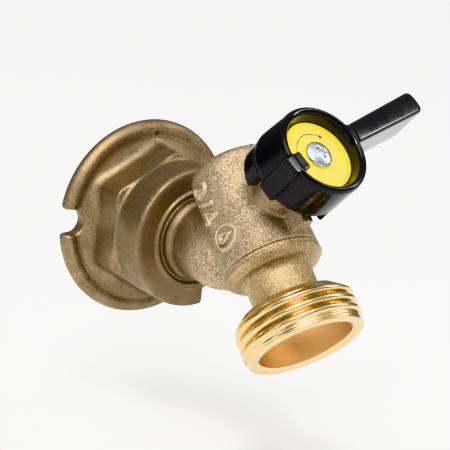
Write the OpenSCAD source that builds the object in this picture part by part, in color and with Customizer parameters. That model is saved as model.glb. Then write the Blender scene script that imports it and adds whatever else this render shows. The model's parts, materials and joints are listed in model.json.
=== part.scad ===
// Quarter-turn hose bib: a cast angle body with a wall flange, an L-port ball turned by a
// lever handle on a stem that leans 45 degrees, and a spout with a garden-hose thread.
// Millimetres. The origin is the centre of the flange's wall face. +Y points into the wall,
// the body stands out along -Y, and +Z is up.

/* [Wall flange] */
// Radius of the wall flange
flange_r = 22.95; // [21:0.05:30]
// Radius of the rounded flange rim, seen in section
flange_rim_r = 1.85; // [1.4:0.05:2]
// Height of the flange cone where it meets the hub
flange_cone_h = 4.2; // [3.9:0.1:4.8]
// Width of the two screw slots
slot_w = 5.8; // [4:0.1:6]
// Distance from the inlet axis to the round bottom of each slot
slot_bottom_x = 17.7; // [17:0.1:19]

/* [Inlet barrel] */
// Outer radius of the barrel
barrel_r = 16.1; // [15.6:0.1:17]
// Length of the barrel, from the wall face to its front face
barrel_len = 22.7; // [21:0.1:28]
// Width of the cast wrench hexagon across its flats
hex_af = 31; // [30:0.1:33]
// Start of the hexagon, from the wall face
hex_start = 4.9; // [4.9:0.1:6]
// Length of the hexagon
hex_len = 8; // [6:0.1:10]
// Radius of the inlet pipe thread
inlet_r = 12.2; // [10:0.1:13]
// Depth of the inlet pipe thread
inlet_depth = 13.5; // [11:0.1:15]
// Outer radius of the low collar on the barrel's front face
collar_r = 10.6; // [9.6:0.1:12]
// Height of that collar
collar_h = 0.6; // [0.3:0.1:1.2]
// Size of the relief cut in the barrel's lower front edge, along the inlet axis
relief_depth = 5.5; // [3:0.1:6]
// Distance of the relief cut's side from the middle plane
relief_x = 3.2; // [2:0.1:6]

/* [Body] */
// Radius of the waterway
waterway_r = 4.75; // [3.8:0.05:5.2]
// Outer radius of the neck between the barrel and the valve chamber
neck_r = 8.6; // [7:0.1:9]
// Distance from the wall face to the elbow, where the inlet axis meets the stem axis
elbow_y = 32.95; // [32.7:0.05:42]
// Distance from the elbow to the ball's centre, along the stem axis
elbow_to_ball = 12.87; // [12.5:0.01:16]
// Radius of the ball
ball_r = 7.5; // [6.2:0.1:7.6]
// Gap between the ball and the chamber wall
chamber_gap = 0.4; // [0.3:0.05:0.8]
// Wall of the body round the spout's thread
body_wall = 2.2; // [1.6:0.1:3]
// How much narrower the casting is at its closed top end
body_draft = 0.95; // [0.5:0.05:1.2]
// Corner radius of the closed top end
cap_round_r = 2.4; // [1.5:0.1:3]
// Thickness of the closed top end
cap_wall = 4.1; // [2.5:0.1:5]
// Outer radius of the stem boss
boss_r = 5.3; // [5.1:0.1:6.4]
// Width of the stop lug
lug_w = 2.7; // [2:0.1:3.2]
// Reach of the stop lug from the stem axis
lug_reach = 9.6; // [9.2:0.1:10]

/* [Spout] */
// Thickness of the round bead below the joint with the body
bead_h = 2.1; // [1.5:0.1:3]
// How far the bead stands out past the body
bead_proud = 0.2; // [0.1:0.05:0.6]
// Outer radius of the spout's neck
spout_neck_r = 7.5; // [6.9:0.1:8.4]
// Length of the spout from the joint to its open end
spout_len = 20.4; // [18:0.1:26]
// Length of the hose-thread collar
hose_collar_len = 9.8; // [9:0.1:12]
// Crest radius of the garden-hose thread
hose_r = 13.45; // [13.2:0.05:14]
// Pitch of the garden-hose thread
hose_pitch = 2.209; // [2.1:0.001:2.4]
// Depth of the garden-hose thread
hose_thread_depth = 1.05; // [0.7:0.05:1.2]
// Radius of the open bore at the hose end
mouth_r = 10.4; // [9:0.1:10.8]
// Depth of that bore
mouth_depth = 7.8; // [5:0.1:8]
// Radius of the screwed spigot that enters the body
spigot_r = 8.5; // [8.3:0.1:9.8]
// Length of the spigot
spigot_len = 5.3; // [4.9:0.1:5.4]

/* [Seats and seals] */
// Distance from the ball's centre to the near face of each seat
seat_face = 4.6; // [4.2:0.1:4.8]
// Distance from the ball's centre to the back face of each seat
seat_back = 8.35; // [7.8:0.05:8.6]
// Width of each seat's band that follows the ball
seat_land = 1.3; // [1:0.05:1.6]
// Step from the chamber wall in to the outlet seat's rim
outlet_seat_step = 1.15; // [1:0.05:1.5]
// Gap between the ball and its seats
ball_gap = 0.1; // [0.05:0.05:0.2]
// Section radius of the seat energizer ring
energizer_r = 0.75; // [0.5:0.05:0.9]
// Section radius of the spout's O-ring
spout_ring_r = 0.5; // [0.4:0.05:0.6]
// Section radius of the two stem O-rings
stem_ring_r = 0.46; // [0.35:0.01:0.5]
// Thickness of the stem's thrust washer
thrust_t = 0.75; // [0.5:0.05:1]
// Height of each packing ring
packing_h = 1.4; // [1:0.1:1.6]
// Thickness of the washer under the packing
packing_washer_t = 0.8; // [0.5:0.1:1]

/* [Stem] */
// Radius of the stem
stem_r = 3; // [2.6:0.05:3.1]
// Radius of the stem's inner collar
stem_collar_r = 4.2; // [3.8:0.05:4.3]
// Thickness of the stem's inner collar
stem_collar_t = 1.4; // [1:0.1:1.6]
// Thickness of the tang that turns the ball
tang_t = 3; // [2.4:0.1:3.4]
// Half the width across the two flats at the stem's top
flat_half = 2.2; // [2:0.05:2.4]
// Radius of the packing chamber in the boss
packing_r = 4.1; // [3.9:0.05:4.3]
// Width of the packing nut across its flats
nut_af = 13; // [12.8:0.1:14]
// Height of the packing nut
nut_h = 4.8; // [4:0.1:5.2]
// Length of the handle screw under its head
screw_len = 8.6; // [6:0.1:9]
// Radius of the handle screw
screw_r = 1.72; // [1.4:0.01:1.8]
// Radius of the handle screw's head
screw_head_r = 3.25; // [2.8:0.05:4]

/* [Handle] */
// Outer radius of the handle's front rim
handle_r = 10.4; // [10.2:0.1:12]
// How much wider the handle's back edge is than its rim
handle_flare = 0.4; // [0.1:0.1:0.8]
// Thickness of the handle's rim
rim_t = 1.8; // [1.4:0.1:2.2]
// Height of the handle's cup, from its back edge to its rim
cup_h = 10; // [9:0.1:13]
// Depth of the recess that holds the label
recess_depth = 3.15; // [2.6:0.05:3.8]
// Thickness of the handle's floor
floor_t = 2.6; // [2:0.1:3.4]
// Height of the partial skirt behind the cup
skirt_h = 4.3; // [3.5:0.1:4.4]
// Distance from the stem axis to the lever's tip
lever_reach = 33.3; // [26:0.1:44]
// Width of the lever at its root
lever_root_w = 4.6; // [3.6:0.1:6]
// Width of the lever at its tip
lever_tip_w = 5.4; // [4:0.1:7]
// Angle of the lever about the stem at rest
lever_angle = 19.5; // [10:0.5:30]
// Width of the counter rib opposite the lever
rib_w = 4.2; // [3.4:0.1:5]
// Distance from the stem axis to the counter rib's inner end
rib_inner_r = 6.7; // [6:0.1:7.4]
// Thickness of the label
label_t = 0.3; // [0.1:0.05:0.5]
// Turn from rest to the closed stop
closed_turn = -9; // [-12:0.5:0]
// Turn from rest to the open stop
open_turn = 81; // [78:0.5:90]

/* [Hidden] */
$fn = 96;

// Clearances
run_gap = 0.05;   // shafts in holes, rings on shafts, seats in bores
stop_gap = 0.6;   // degrees between the skirt's end and the lug at each limit
eps = 0.5;        // overlap of joined solids and overshoot of cuts
bend_step = 0.2;  // how much each stretch of the elbow steps in from the one before

// The stem leans 45 degrees forward of straight up, the spout 45 degrees forward of down
lean = 45;
ball_at = [0, -elbow_y - elbow_to_ball * sin(lean), elbow_to_ball * cos(lean)];

// Chamber and casting round the ball, along the outlet axis from the ball's centre
chamber_r = ball_r + chamber_gap;
outlet_seat_r = chamber_r - outlet_seat_step;
seat_bore_r = sqrt(pow(ball_r + ball_gap, 2) - pow(seat_face, 2)) - seat_land;
thread_bore_r = spigot_r + run_gap;
body_end_r = thread_bore_r + body_wall;
body_top_r = body_end_r - body_draft;
joint_s = spigot_len + seat_face + 0.4;
energizer_s = seat_back + energizer_r;
chamber_top = energizer_s + energizer_r + run_gap;
cap_s = chamber_top + cap_wall;
counterbore_s = joint_s - spigot_len - 2 * run_gap;

// Stem stack, along the stem axis from the ball's centre
tang_bottom = ball_r * 0.75;
collar_bottom = chamber_r + 0.1;
collar_top = collar_bottom + stem_collar_t;
pocket_top = collar_top + thrust_t + run_gap;
ring_pitch = 1.6;
ring_low_t = pocket_top + 1.2;
ring_high_t = ring_low_t + ring_pitch;
packing_floor = ring_high_t + 1.2;
washer_top = packing_floor + packing_washer_t;
packing_mid = washer_top + packing_h;
packing_top = packing_mid + packing_h;
boss_top = packing_top + 1.2;
follower_flange_bottom = boss_top + 0.2;
follower_top = follower_flange_bottom + 0.95;
nut_top = follower_top + 1.05;
nut_bottom = nut_top - nut_h;

// Handle levels, along the stem axis
handle_back_r = handle_r + handle_flare;
handle_floor_bottom = nut_top + 1.6;
label_bottom = handle_floor_bottom + floor_t;
label_top = label_bottom + label_t;
rim_top = label_bottom + recess_depth;
cup_bottom = rim_top - cup_h;
skirt_bottom = cup_bottom - skirt_h;
blade_bottom = cup_bottom - 0.5;
hub_bottom = nut_top + 0.6;
stem_top = label_bottom - 0.8;
stem_socket_h = stem_top + 0.3 - hub_bottom + eps;
screw_hole_r = screw_r + 0.3;
cup_inner_r = handle_back_r - 1.6;
recess_bottom_r = handle_r - rim_t - 0.6;
skirt_inner_r = lug_reach - 1.3;
lug_top = skirt_bottom + 1.2;
lug_foot = chamber_r + 0.8;
stop_half = asin(lug_w / 2 / skirt_inner_r) + stop_gap;
skirt_start = -90 + stop_half - closed_turn;
skirt_end = 270 - stop_half - open_turn;

// Spout levels, along the outlet axis from the ball's centre
bead_r = body_end_r + bead_proud;
spout_end_s = joint_s + spout_len;
hose_start_s = spout_end_s - hose_collar_len;
groove_half = spout_ring_r + run_gap;
spout_ring_s = joint_s - 0.25 - groove_half;

// Wrench flats and cast-in shapes
hex_r = hex_af / 2 / cos(30);
relief_top = collar_r - 1.1;

// Puts children with Z pointing out of the wall
module wall_frame() rotate([90, 0, 0]) children();

// Puts children at the ball's centre with Z up the stem, and -Y down the outlet
module stem_frame() translate(ball_at) rotate([lean, 0, 0]) children();

// Puts children at the ball's centre with Z down the outlet
module outlet_frame() translate(ball_at) rotate([180 - lean, 0, 0]) children();

// A plain ring between two levels
module ring(outer_r, inner_r, bottom, top) {
    difference() {
        translate([0, 0, bottom]) cylinder(r = outer_r, h = top - bottom);
        translate([0, 0, bottom - eps]) cylinder(r = inner_r, h = top - bottom + 2 * eps);
    }
}

// An O-ring of round section
module o_ring(middle_r, section_r, level) {
    translate([0, 0, level]) rotate_extrude() translate([middle_r, 0]) circle(r = section_r);
}

// A hexagonal prism with two flats facing left and right
module hex_prism(across, bottom, top) {
    translate([0, 0, bottom]) rotate([0, 0, 30])
        cylinder(r = across / 2 / cos(30), h = top - bottom, $fn = 6);
}

// Flange section: flat back, rounded rim and a cone that rises to the hub
module flange_solid() {
    rim_middle_r = flange_r - flange_rim_r;
    crease = [rim_middle_r - 1, 2 * flange_rim_r - 0.35];
    hub_r = barrel_r + 0.5;
    rotate_extrude() {
        translate([rim_middle_r, flange_rim_r]) circle(r = flange_rim_r);
        polygon([[0, 0], [rim_middle_r, 0], [rim_middle_r, 2 * flange_rim_r - 0.01], crease,
            [hub_r, flange_cone_h], [hub_r, hex_start], [0, hex_start]]);
    }
}

// Screw slots with round bottoms, open at the flange's edge
module screw_slots() {
    cut_h = hex_start + eps - 0.1;
    for (side = [-1, 1]) {
        translate([side * (slot_bottom_x + slot_w / 2), 0, -eps]) {
            cylinder(r = slot_w / 2, h = cut_h);
            translate([side > 0 ? 0 : -flange_r, -slot_w / 2, 0])
                cube([flange_r, slot_w, cut_h]);
        }
    }
}

// Barrel with a rounded front edge, its low collar and the step down to the neck
module barrel_solid() {
    edge = 0.8;
    foot_h = 2.9;
    rotate_extrude() {
        square([barrel_r - edge, barrel_len]);
        square([barrel_r, barrel_len - edge]);
        translate([barrel_r - edge, barrel_len - edge]) circle(r = edge);
        square([collar_r, barrel_len + collar_h]);
        polygon([[0, barrel_len], [neck_r + 1.3, barrel_len], [neck_r + 1.1, barrel_len + foot_h / 2],
            [neck_r, barrel_len + foot_h], [0, barrel_len + foot_h]]);
    }
}

// Closed chamber casting with draft and a rounded top end
module chamber_solid() {
    round_s = cap_round_r - cap_s;
    rotate_extrude() {
        polygon([[0, -cap_s], [body_top_r - cap_round_r, -cap_s], [body_top_r, round_s],
            [body_end_r, joint_s], [0, joint_s]]);
        translate([body_top_r - cap_round_r, round_s]) circle(r = cap_round_r);
    }
}

// All the holes in the body, seen from the wall
module inlet_cuts() {
    translate([0, 0, -eps]) cylinder(r = inlet_r, h = inlet_depth + eps);
    cylinder(r = (inlet_r + waterway_r) / 2 + 1, h = inlet_depth + 2.5);
    cylinder(r = waterway_r, h = elbow_y);
    translate([relief_x, -barrel_r - eps, barrel_len - relief_depth])
        cube([barrel_r, barrel_r + eps - relief_top, relief_depth + collar_h + eps]);
}

// The chamber and the spout's screwed socket
module chamber_cuts() {
    translate([0, 0, -chamber_top]) cylinder(r = chamber_r, h = chamber_top + joint_s + eps);
    translate([0, 0, counterbore_s]) cylinder(r = thread_bore_r, h = spigot_len + eps + 1);
}

// The stem bore, its inner pocket and the packing chamber
module stem_cuts() {
    cylinder(r = stem_collar_r + 2 * run_gap, h = pocket_top);
    cylinder(r = stem_r + run_gap, h = boss_top + eps);
    translate([0, 0, packing_floor]) cylinder(r = packing_r, h = boss_top - packing_floor + eps);
}

module valve_body() {
    color("darkgoldenrod") difference() {
        union() {
            wall_frame() {
                difference() {
                    flange_solid();
                    screw_slots();
                }
                hex_prism(hex_af, hex_start, hex_start + hex_len);
                barrel_solid();
                translate([0, 0, barrel_len]) cylinder(r = neck_r, h = elbow_y - barrel_len);
                translate([0, 0, elbow_y]) sphere(r = neck_r - bend_step);
            }
            stem_frame() {
                translate([0, 0, -elbow_to_ball])
                    cylinder(r = neck_r - 2 * bend_step, h = elbow_to_ball);
                cylinder(r = boss_r, h = boss_top);
                translate([-lug_w / 2, -lug_reach, lug_foot])
                    cube([lug_w, lug_reach - boss_r + 1, lug_top - lug_foot]);
            }
            outlet_frame() chamber_solid();
        }
        wall_frame() inlet_cuts();
        stem_frame() {
            translate([0, 0, -elbow_to_ball]) sphere(r = waterway_r - bend_step);
            translate([0, 0, -elbow_to_ball])
                cylinder(r = waterway_r - 2 * bend_step, h = elbow_to_ball);
            stem_cuts();
        }
        outlet_frame() chamber_cuts();
    }
}

// Half-round grooves and flat crests of the hose thread, as rings one pitch apart
module hose_thread_profile() {
    groove_r = hose_pitch * 0.36;
    shoulder = 1.6;
    lip_len = 2.1;
    lip_r = hose_r - 0.7;
    lip_s = spout_end_s - lip_len;
    difference() {
        polygon([[0, hose_start_s], [hose_r - 2.4, hose_start_s], [hose_r, hose_start_s + shoulder],
            [hose_r, lip_s], [lip_r, lip_s + 0.3], [lip_r - 0.1, spout_end_s], [0, spout_end_s]]);
        for (i = [0 : 2])
            translate([hose_r - hose_thread_depth + groove_r, lip_s + 0.08 - i * hose_pitch])
                circle(r = groove_r);
    }
}

module outlet_spout() {
    bead_bottom = joint_s + bead_h;
    neck_top = bead_bottom + 2.2;
    mouth_s = spout_end_s - mouth_depth;
    spigot_end_s = joint_s - spigot_len;
    groove_bottom_r = spigot_r - 2 * spout_ring_r - 2 * run_gap;
    color("goldenrod") outlet_frame() difference() {
        union() {
            translate([0, 0, spigot_end_s]) cylinder(r = spigot_r, h = spigot_len + eps);
            rotate_extrude() {
                polygon([[0, joint_s], [bead_r - 0.25, joint_s], [bead_r, joint_s + 0.4],
                    [bead_r, bead_bottom - 0.3], [bead_r - 1.15, bead_bottom + 1.1],
                    [spout_neck_r + 0.1, neck_top], [spout_neck_r - 0.15, hose_start_s + eps],
                    [0, hose_start_s + eps]]);
                hose_thread_profile();
            }
        }
        translate([0, 0, spigot_end_s - eps]) {
            cylinder(r = waterway_r, h = spout_end_s);
            cylinder(r = outlet_seat_r + run_gap, h = seat_back + run_gap + eps - spigot_end_s);
        }
        translate([0, 0, mouth_s]) cylinder(r = mouth_r, h = mouth_depth + eps);
        ring(spigot_r + 1, groove_bottom_r, spout_ring_s - groove_half, spout_ring_s + groove_half);
    }
}

module spout_o_ring() {
    color("black") outlet_frame()
        o_ring(spigot_r - spout_ring_r + 0.01, spout_ring_r, spout_ring_s);
}

// The ball: a back port on the stem axis that turns inside into a side port
module ball() {
    port_r = waterway_r - 0.5;
    color("silver") stem_frame() rotate([0, 0, -open_turn]) difference() {
        sphere(r = ball_r);
        translate([0, 0, -ball_r - eps]) cylinder(r = port_r, h = ball_r + eps);
        rotate([90, 0, 0]) cylinder(r = port_r, h = ball_r + eps);
        sphere(r = port_r + 0.02);
        translate([-ball_r, -tang_t / 2 - run_gap, tang_bottom - 0.2])
            cube([2 * ball_r, tang_t + 2 * run_gap, ball_r]);
    }
}

// A seat ring with a hollow that follows the ball
module seat(outer_r) {
    difference() {
        ring(outer_r, seat_bore_r, seat_face, seat_back);
        sphere(r = ball_r + ball_gap);
    }
}

module outlet_seat() {
    color("white") outlet_frame() seat(outlet_seat_r);
}

module upper_seat() {
    color("white") outlet_frame() mirror([0, 0, 1]) seat(chamber_r - run_gap);
}

module seat_energizer() {
    color("black") outlet_frame()
        o_ring(chamber_r - energizer_r - 0.2, energizer_r, -energizer_s - run_gap / 2);
}

module stem() {
    groove_w = 2 * stem_ring_r + 0.12;
    groove_r = stem_r - 2 * stem_ring_r - 0.03;
    tang_r = stem_collar_r - 0.1;
    hole_bottom = label_top - screw_len - 0.6;
    color("darkkhaki") stem_frame() rotate([0, 0, -open_turn]) difference() {
        union() {
            intersection() {
                translate([-stem_collar_r, -tang_t / 2, tang_bottom])
                    cube([2 * stem_collar_r, tang_t, collar_bottom - tang_bottom + eps]);
                translate([0, 0, tang_bottom - eps])
                    cylinder(r = tang_r, h = collar_bottom - tang_bottom + 2 * eps);
            }
            translate([0, 0, collar_bottom]) cylinder(r = stem_collar_r, h = stem_collar_t);
            translate([0, 0, collar_top - eps]) cylinder(r = stem_r, h = stem_top - collar_top + eps);
        }
        for (level = [ring_low_t, ring_high_t])
            ring(stem_r + 1, groove_r, level - groove_w / 2, level + groove_w / 2);
        for (side = [-1, 1])
            translate([-stem_r - eps, side > 0 ? flat_half : -flat_half - stem_r, hub_bottom - 0.3])
                cube([2 * stem_r + 2 * eps, stem_r, stem_top]);
        translate([0, 0, hole_bottom]) cylinder(r = screw_r + run_gap, h = stem_top);
    }
}

module thrust_washer() {
    color("white") stem_frame()
        ring(stem_collar_r, stem_r + run_gap, collar_top, collar_top + thrust_t);
}

module stem_o_ring_lower() {
    color("black") stem_frame() o_ring(stem_r - stem_ring_r - 0.01, stem_ring_r, ring_low_t);
}

module stem_o_ring_upper() {
    color("black") stem_frame() o_ring(stem_r - stem_ring_r - 0.01, stem_ring_r, ring_high_t);
}

// A ring that fills the packing chamber between two levels
module packing_part(bottom, top) {
    stem_frame() ring(packing_r - run_gap, stem_r + run_gap, bottom, top);
}

module packing_washer() {
    color("goldenrod") packing_part(packing_floor, washer_top);
}

module packing_ring_lower() {
    color("white") packing_part(washer_top, packing_mid);
}

module packing_ring_upper() {
    color("white") packing_part(packing_mid, packing_top);
}

module packing_follower() {
    color("goldenrod") union() {
        packing_part(packing_top, follower_flange_bottom + 0.1);
        stem_frame()
            ring(boss_r - 0.3, stem_r + run_gap, follower_flange_bottom, follower_top);
    }
}

module packing_nut() {
    color("goldenrod") stem_frame() difference() {
        intersection() {
            hex_prism(nut_af, nut_bottom, nut_top);
            translate([0, 0, nut_bottom])
                cylinder(r1 = nut_af / 2 + 4, r2 = nut_af / 2 + 0.2, h = nut_h);
        }
        translate([0, 0, nut_bottom - eps])
            cylinder(r = boss_r + run_gap, h = follower_top - nut_bottom + eps);
        translate([0, 0, nut_bottom]) cylinder(r = stem_r + 2 * run_gap, h = nut_h + eps);
    }
}

// Wall of the handle's cup with a fully rounded rim, and its floor
module cup_solid() {
    round_t = rim_top - rim_t / 2;
    rim_inner_r = handle_r - rim_t;
    over = 0.01;
    rotate_extrude() {
        difference() {
            union() {
                polygon([[0, cup_bottom], [handle_back_r, cup_bottom], [handle_r, round_t],
                    [0, round_t]]);
                translate([handle_r - rim_t / 2, round_t]) circle(r = rim_t / 2);
            }
            polygon([[0, label_bottom], [recess_bottom_r, label_bottom], [rim_inner_r, round_t],
                [rim_inner_r, round_t + over], [0, round_t + over]]);
            square([cup_inner_r, handle_floor_bottom]);
        }
    }
}

// Part of a ring behind the cup; its two ends meet the stop lug at the limits
module skirt_solid() {
    far = 3 * handle_back_r;
    gap_middle = (skirt_start + skirt_end) / 2 + 180;
    difference() {
        ring(handle_back_r - 0.25, skirt_inner_r, skirt_bottom, cup_bottom + 0.3);
        translate([0, 0, skirt_bottom - eps]) linear_extrude(height = skirt_h + eps)
            polygon([[0, 0], for (a = [skirt_end, gap_middle, skirt_start]) far * [cos(a), sin(a)]]);
    }
}

// The lever blade, as deep as the cup, with rounded corners at its tip
module lever_solid() {
    tip_round = 1.1;
    root_x = handle_r - rim_t + 0.25;
    translate([0, 0, blade_bottom]) linear_extrude(height = rim_top - blade_bottom - 0.1) {
        polygon([[root_x, -lever_root_w / 2], [lever_reach - tip_round, -lever_tip_w / 2],
            [lever_reach, -lever_tip_w / 2 + tip_round], [lever_reach, lever_tip_w / 2 - tip_round],
            [lever_reach - tip_round, lever_tip_w / 2], [root_x, lever_root_w / 2]]);
        for (side = [-1, 1])
            translate([lever_reach - tip_round, side * (lever_tip_w / 2 - tip_round)])
                circle(r = tip_round);
    }
}

// The rib opposite the lever: down the outside of the cup and in over the label's edge
module counter_rib() {
    outer_x = handle_back_r + 0.35;
    wall_part = outer_x - cup_inner_r - 0.4;
    lip_bottom = label_top + run_gap;
    rib_top = rim_top - 0.1;
    translate([-outer_x, -rib_w / 2, blade_bottom]) cube([wall_part, rib_w, rib_top - blade_bottom]);
    translate([-outer_x, -rib_w / 2, lip_bottom])
        cube([outer_x - rib_inner_r, rib_w, rib_top - lip_bottom]);
}

module handle() {
    color("#151515") stem_frame() difference() {
        union() {
            cup_solid();
            skirt_solid();
            rotate([0, 0, lever_angle]) {
                lever_solid();
                counter_rib();
            }
            translate([0, 0, hub_bottom])
                cylinder(r = stem_r + 2, h = handle_floor_bottom - hub_bottom + eps);
        }
        rotate([0, 0, -open_turn]) translate([0, 0, hub_bottom - eps]) intersection() {
            cylinder(r = stem_r + run_gap, h = stem_socket_h);
            translate([-stem_r - eps, -flat_half - run_gap, 0])
                cube([2 * (stem_r + eps), 2 * (flat_half + run_gap), stem_socket_h]);
        }
        translate([0, 0, hub_bottom]) cylinder(r = screw_hole_r, h = label_top - hub_bottom + eps);
    }
}

module handle_label() {
    color("gold") stem_frame()
        ring(recess_bottom_r - run_gap, screw_hole_r, label_bottom, label_top);
}

module handle_screw() {
    head_h = 1.5;
    dome_r = 6;
    cross_len = 3.2;
    cross_w = 0.8;
    cross_depth = 0.9;
    color("lightgray") stem_frame() difference() {
        union() {
            intersection() {
                translate([0, 0, label_top]) cylinder(r = screw_head_r, h = head_h);
                translate([0, 0, label_top + head_h - dome_r]) sphere(r = dome_r);
            }
            translate([0, 0, label_top - screw_len]) cylinder(r = screw_r, h = screw_len + eps);
        }
        for (turn = [20, 110])
            rotate([0, 0, turn])
                translate([-cross_len / 2, -cross_w / 2, label_top + head_h - cross_depth])
                    cube([cross_len, cross_w, head_h]);
    }
}

valve_body();
outlet_spout();
spout_o_ring();
ball();
outlet_seat();
upper_seat();
seat_energizer();
stem();
thrust_washer();
stem_o_ring_lower();
stem_o_ring_upper();
packing_washer();
packing_ring_lower();
packing_ring_upper();
packing_follower();
packing_nut();
handle();
handle_label();
handle_screw();
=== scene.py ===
"""A quarter-turn brass hose bib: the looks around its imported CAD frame.

The big shapes are cast or moulded, with rounded edges and fillets, so each one is a distance
field (negative inside) that a surface net turns into a mesh. Fields work in millimetres in the
frame's own axes; meshes are in metres.
"""
import json
import math

import bpy
import numpy as np
from mathutils import Matrix, Vector


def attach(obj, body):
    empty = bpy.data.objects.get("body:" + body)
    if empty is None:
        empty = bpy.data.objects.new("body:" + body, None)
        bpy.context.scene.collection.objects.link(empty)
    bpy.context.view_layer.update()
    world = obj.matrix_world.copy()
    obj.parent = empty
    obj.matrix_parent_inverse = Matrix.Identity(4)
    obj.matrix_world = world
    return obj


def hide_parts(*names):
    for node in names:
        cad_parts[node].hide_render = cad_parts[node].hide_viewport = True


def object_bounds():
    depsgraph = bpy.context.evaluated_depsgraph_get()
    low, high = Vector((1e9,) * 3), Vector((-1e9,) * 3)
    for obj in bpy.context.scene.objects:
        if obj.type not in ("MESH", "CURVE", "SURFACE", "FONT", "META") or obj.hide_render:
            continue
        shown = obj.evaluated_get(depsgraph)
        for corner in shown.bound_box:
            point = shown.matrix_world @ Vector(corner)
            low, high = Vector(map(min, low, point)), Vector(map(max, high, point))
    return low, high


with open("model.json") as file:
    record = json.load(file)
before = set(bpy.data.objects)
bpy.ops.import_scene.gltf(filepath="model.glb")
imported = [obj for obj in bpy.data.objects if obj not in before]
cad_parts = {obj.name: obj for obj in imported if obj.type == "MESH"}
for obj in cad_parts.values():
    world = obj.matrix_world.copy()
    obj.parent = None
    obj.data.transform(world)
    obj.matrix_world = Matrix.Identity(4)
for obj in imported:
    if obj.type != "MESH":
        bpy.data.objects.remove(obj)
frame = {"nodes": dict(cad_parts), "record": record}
cad_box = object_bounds()

# ---------------------------------------------------------------- places, from the frame
MM = 0.001
JOINT = frame["record"]["behaviour"]["joints"][0]
MOUNTS = {mount["name"]: mount for mount in frame["record"]["mounts"]}
BALL = np.array(JOINT["pos_m"]) / MM                     # where stem and outlet axes cross
STEM = np.array(JOINT["axis"])                           # up the stem
OUTLET = np.array(MOUNTS["hose_thread"]["axis"])         # down the spout
ELBOW_U = -BALL[1] - BALL[2]                             # inlet axis meets stem axis, out of the wall


# ---------------------------------------------------------------- sizes in mm
# Body
FLANGE_R, RIM_R = 22.95, 1.85
FLANGE_HUB_U = 4.6
SLOT_R, SLOT_X = 2.9, 20.6
WEB_R, WEB_U = 16.2, 3.4                                 # the flange's flat web, inside its rim
HEX_FLAT, HEX_CORNER_R, HEX_FRONT_U = 15.5, 17.55, 12.9
BARREL_BACK_R, BARREL_FRONT_R, BARREL_FRONT_U = 15.55, 16.1, 22.7
RING_R, RING_TUBE = 10.7, 0.5
HOLLOW_R, HOLLOW_TUBE = 9.65, 0.66
NECK_FOOT_R, NECK_FOOT_TUBE = 8.4, 0.9
NECK_R, BRANCH_R = 8.6, 8.2
CHAMBER_R, CHAMBER_TAPER, CHAMBER_TOP_S, CHAMBER_ROUND = 10.32, 0.043, -14.05, 2.4
BOSS_R, BOSS_TOP = 5.35, 19.0
LUG_HALF, LUG_REACH, LUG_TOP = 1.4, 9.6, 15.45
RELIEF_X, RELIEF_Z, RELIEF_U = 3.2, -9.5, 17.2
INLET_R = MOUNTS["inlet_thread"]["dims"]["r_mm"]
INLET_DEPTH = MOUNTS["inlet_thread"]["dims"]["length_mm"]
INLET_PITCH, INLET_THREAD = 1.814, 0.95
INLET_RELIEF_R, INLET_RELIEF_LENGTH = 9.475, 2.5
WATER_R = 4.75
CHAMBER_BORE_R, CHAMBER_BORE_BOTTOM = 7.9, -9.95
SOCKET_R, SOCKET_BOTTOM = 8.55, 4.9
STEM_BORE_R, COLLAR_POCKET_R, COLLAR_POCKET_TOP = 3.05, 4.3, 10.2
PACKING_R, PACKING_FLOOR = 4.1, 14.2
JOINT_S = 10.3
# Spout
BEAD_R, BEAD_S = 10.95, 12.3
SPOUT_NECK_R = 7.45
COLLAR_S, SPOUT_END_S = 20.9, 30.7
HOSE_R = MOUNTS["hose_thread"]["dims"]["r_mm"]
HOSE_PITCH, HOSE_DEPTH = 2.209, 1.05
LIP_S, LIP_R = 28.7, 12.85
MOUTH_R, MOUTH_S = 10.4, 22.9
SPIGOT_R, SPIGOT_START = 8.5, 5.0
RING_GROOVE_R, RING_GROOVE_S, RING_GROOVE_HALF = 7.4, 9.5, 0.55
SEAT_POCKET_R, SEAT_POCKET_END = 6.8, 8.4
# Handle, levels along the stem
CUP_BACK_R, CUP_FRONT_R = 10.75, 10.4
CUP_BOTTOM, RIM_TOP, SKIRT_BOTTOM = 18.55, 28.55, 14.25
LABEL_BOTTOM, LABEL_TOP = 25.4, 25.7
LEVER_TURN = math.radians(19.5)
LEVER_REACH, LEVER_ROOT, LEVER_TIP = 33.3, 4.6, 5.4
BLADE_BOTTOM = 18.05
SKIRT_START, SKIRT_END = math.radians(-71), math.radians(179)
RECESS_R, INNER_R, INNER_TOP = 8.05, 9.15, 22.8
HUB_R, HUB_BOTTOM, HUB_TOP = 5.0, 21.8, 23.5
RIB_PLACE, RIB_HALF = 10.3, 2.1
# Packing nut
NUT_FLAT, NUT_CORNER_R, NUT_BOTTOM, NUT_TOP = 6.5, 6.9, 16.4, 21.2
NUT_BORE_R, NUT_BORE_TOP, NUT_STEM_R = 5.35, 20.15, 3.1
# Handle screw
HEAD_R, SHANK_R, SHANK_LENGTH, SCREW_PITCH = 3.2, 1.7, 8.6, 0.8
RECESS_ARM, RECESS_HALF, RECESS_DEPTH, RECESS_TURN = 1.55, 0.42, 1.15, 0.35


# ---------------------------------------------------------------- distance fields
def smooth_min(a, b, k):
    """Union with a fillet about k wide"""
    h = np.clip(0.5 + 0.5 * (b - a) / k, 0, 1)
    return b + (a - b) * h - k * h * (1 - h)


def smooth_max(a, b, k):
    """Intersection with a rounded edge about k wide"""
    return -smooth_min(-a, -b, k)


def cut(a, b, k):
    """a with b taken away, the edge rounded"""
    return smooth_max(a, -b, k)


def rod(radius, height, outer, low, high, edge=0.0):
    """A cylinder, given the distance from its axis and the height along it"""
    side = radius - outer + edge
    end = np.abs(height - (low + high) / 2) - (high - low) / 2 + edge
    return np.minimum(np.maximum(side, end), 0) + np.hypot(np.maximum(side, 0), np.maximum(end, 0)) - edge


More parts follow.
